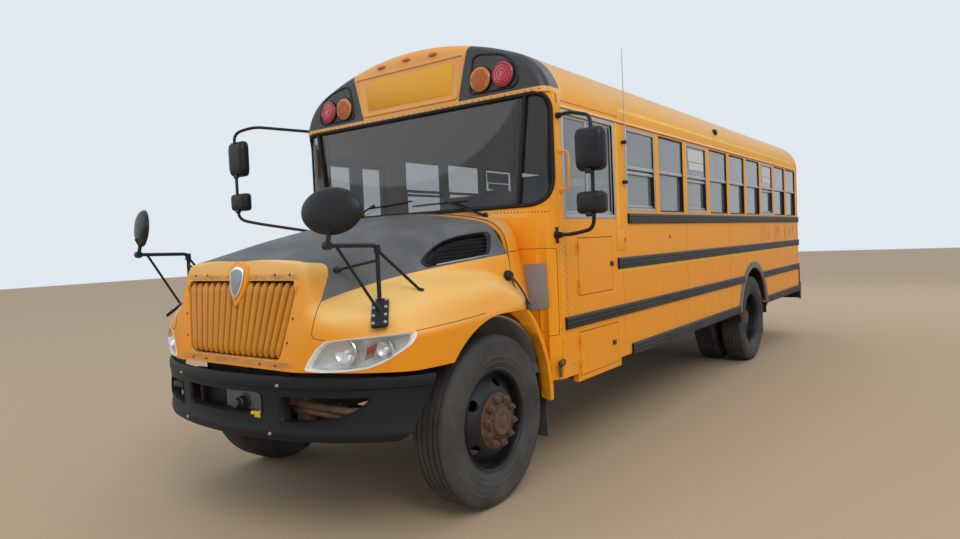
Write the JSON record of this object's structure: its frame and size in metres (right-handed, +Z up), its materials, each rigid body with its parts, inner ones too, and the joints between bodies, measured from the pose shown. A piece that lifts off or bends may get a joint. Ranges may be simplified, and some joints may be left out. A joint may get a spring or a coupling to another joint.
{
  "type": "school bus",
  "caption": "Yellow long-nose school bus with black hood top and rub rails, tilting hood, split entry door, rear emergency door and dual rear wheels.",
  "frame": {"origin": "on the ground under the middle of the bus's length and width", "axes": "+X forward, +Y to the driver's side, +Z up"},
  "size_m": [9.5098, 3.31, 3.15],
  "materials": {
    "yellow_paint": "school bus yellow, weathered",
    "black_paint": "satin black",
    "black_plastic": "dusty black moulding",
    "chassis": "black chassis paint with rust",
    "cast": "dull cast metal",
    "glass": "tinted glass",
    "mirror_shell": "black plastic",
    "frame_metal": "dull aluminium",
    "tyre": "dusty rubber",
    "wheel_paint": "black wheel paint with rust",
    "lens_red": "moulded red lens",
    "lens_amber": "moulded amber lens",
    "lamp_clear": "clear lens",
    "seat_cover": "brown vinyl",
    "driver_cover": "grey cloth",
    "trim_grey": "grey panel",
    "rubber": "black rubber",
    "floor_mat": "ribbed floor",
    "exhaust_metal": "rusty steel"
  },
  "bodies": {
    "root": {"frame_rails": "chassis", "front_bumper": "black_plastic", "rear_bumper": "black_paint", "engine_block": "cast", "radiator": "chassis", "front_axle": "chassis", "leaf_springs": "chassis", "rear_axle": "chassis", "drive_shaft": "chassis", "exhaust": "exhaust_metal", "fuel_tank": "chassis", "battery_box": "chassis", "floor": "floor_mat", "cowl": "yellow_paint", "left_wall": "yellow_paint", "right_wall": "yellow_paint", "rear_wall": "yellow_paint", "roof": "yellow_paint", "front_cap": "yellow_paint", "windshield": "glass", "windshield_posts": "rubber", "left_windows": "frame_metal", "right_windows": "frame_metal", "rear_windows": "glass", "rub_rails": "black_paint", "arch_trims": "trim_grey", "side_mirrors": "mirror_shell", "warning_lamps": "lens_red", "marker_lamps": "lens_amber", "passenger_seats": "seat_cover", "driver_seat": "driver_cover", "dashboard": "trim_grey", "steering_wheel": "black_plastic", "mud_flaps": "rubber", "wipers": "black_paint", "side_fittings": "yellow_paint"},
    "hood": {"hood_shell": "yellow_paint", "grille": "yellow_paint", "headlights": "lamp_clear", "crossover_mirrors": "mirror_shell"},
    "entry_front": {"entry_leaf_front": "black_paint"},
    "entry_rear": {"entry_leaf_rear": "black_paint"},
    "emergency": {"emergency_door": "yellow_paint"},
    "battery_panel": {"battery_door": "yellow_paint"},
    "access_panel": {"access_door": "yellow_paint"},
    "hatch": {"roof_hatch": "trim_grey"},
    "steer_left_knuckle": {"knuckle_left": "chassis"},
    "steer_right_knuckle": {"knuckle_right": "chassis"},
    "steering_link": {"tie_rod": "chassis"},
    "front_left": {"tyre_front_left": "tyre", "wheel_front_left": "wheel_paint"},
    "front_right": {"tyre_front_right": "tyre", "wheel_front_right": "wheel_paint"},
    "rear_left": {"tyres_rear_left": "tyre", "wheels_rear_left": "wheel_paint"},
    "rear_right": {"tyres_rear_right": "tyre", "wheels_rear_right": "wheel_paint"}
  },
  "joints": [
    {"name": "hood_tilt", "type": "hinge", "parent": "root", "child": "hood", "pos_m": [4.635, 0, 0.992], "axis": [0, 1, 0], "range_deg": [0, 75]},
    {"name": "entry_front_swing", "type": "hinge", "parent": "root", "child": "entry_front", "pos_m": [2.85, -1.231, 1.4], "axis": [0, 0, 1], "range_deg": [0, 85]},
    {"name": "entry_rear_swing", "type": "hinge", "parent": "root", "child": "entry_rear", "pos_m": [2.07, -1.231, 1.4], "axis": [0, 0, 1], "range_deg": [-85, 0]},
    {"name": "emergency_swing", "type": "hinge", "parent": "root", "child": "emergency", "pos_m": [-4.677, -0.33, 1.75], "axis": [0, 0, 1], "range_deg": [0, 100]},
    {"name": "battery_swing", "type": "hinge", "parent": "root", "child": "battery_panel", "pos_m": [2.698, 1.231, 0.8], "axis": [0, 0, -1], "range_deg": [0, 100]},
    {"name": "access_swing", "type": "hinge", "parent": "root", "child": "access_panel", "pos_m": [2.682, 1.231, 1.4], "axis": [0, 0, -1], "range_deg": [0, 100]},
    {"name": "hatch_lift", "type": "hinge", "parent": "root", "child": "hatch", "pos_m": [-0.242, 0, 3.135], "axis": [0, 1, 0], "range_deg": [0, 70]},
    {"name": "steer_left", "type": "hinge", "parent": "root", "child": "steer_left_knuckle", "pos_m": [3.595, 0.83, 0.525], "axis": [0, 0, 1], "range_deg": [-40, 40]},
    {"name": "steer_right", "type": "hinge", "parent": "root", "child": "steer_right_knuckle", "pos_m": [3.595, -0.83, 0.525], "axis": [0, 0, 1], "range_deg": [-40, 40]},
    {"name": "tie_rod_pivot", "type": "hinge", "parent": "steer_left_knuckle", "child": "steering_link", "pos_m": [3.405, 0.83, 0.378], "axis": [0, 0, 1], "range_deg": [-40, 40]},
    {"name": "roll_front_left", "type": "hinge", "parent": "steer_left_knuckle", "child": "front_left", "pos_m": [3.595, 0.995, 0.525], "axis": [0, 1, 0], "continuous": true},
    {"name": "roll_front_right", "type": "hinge", "parent": "steer_right_knuckle", "child": "front_right", "pos_m": [3.595, -0.995, 0.525], "axis": [0, 1, 0], "continuous": true},
    {"name": "roll_rear_left", "type": "hinge", "parent": "root", "child": "rear_left", "pos_m": [-1.917, 0.902, 0.525], "axis": [0, 1, 0], "continuous": true},
    {"name": "roll_rear_right", "type": "hinge", "parent": "root", "child": "rear_right", "pos_m": [-1.917, -0.902, 0.525], "axis": [0, 1, 0], "continuous": true}
  ],
  "couplings": [
    {"joint": "entry_rear_swing", "follows": "entry_front_swing", "ratio": -1},
    {"joint": "steer_right", "follows": "steer_left", "ratio": 1},
    {"joint": "tie_rod_pivot", "follows": "steer_left", "ratio": -1}
  ]
}
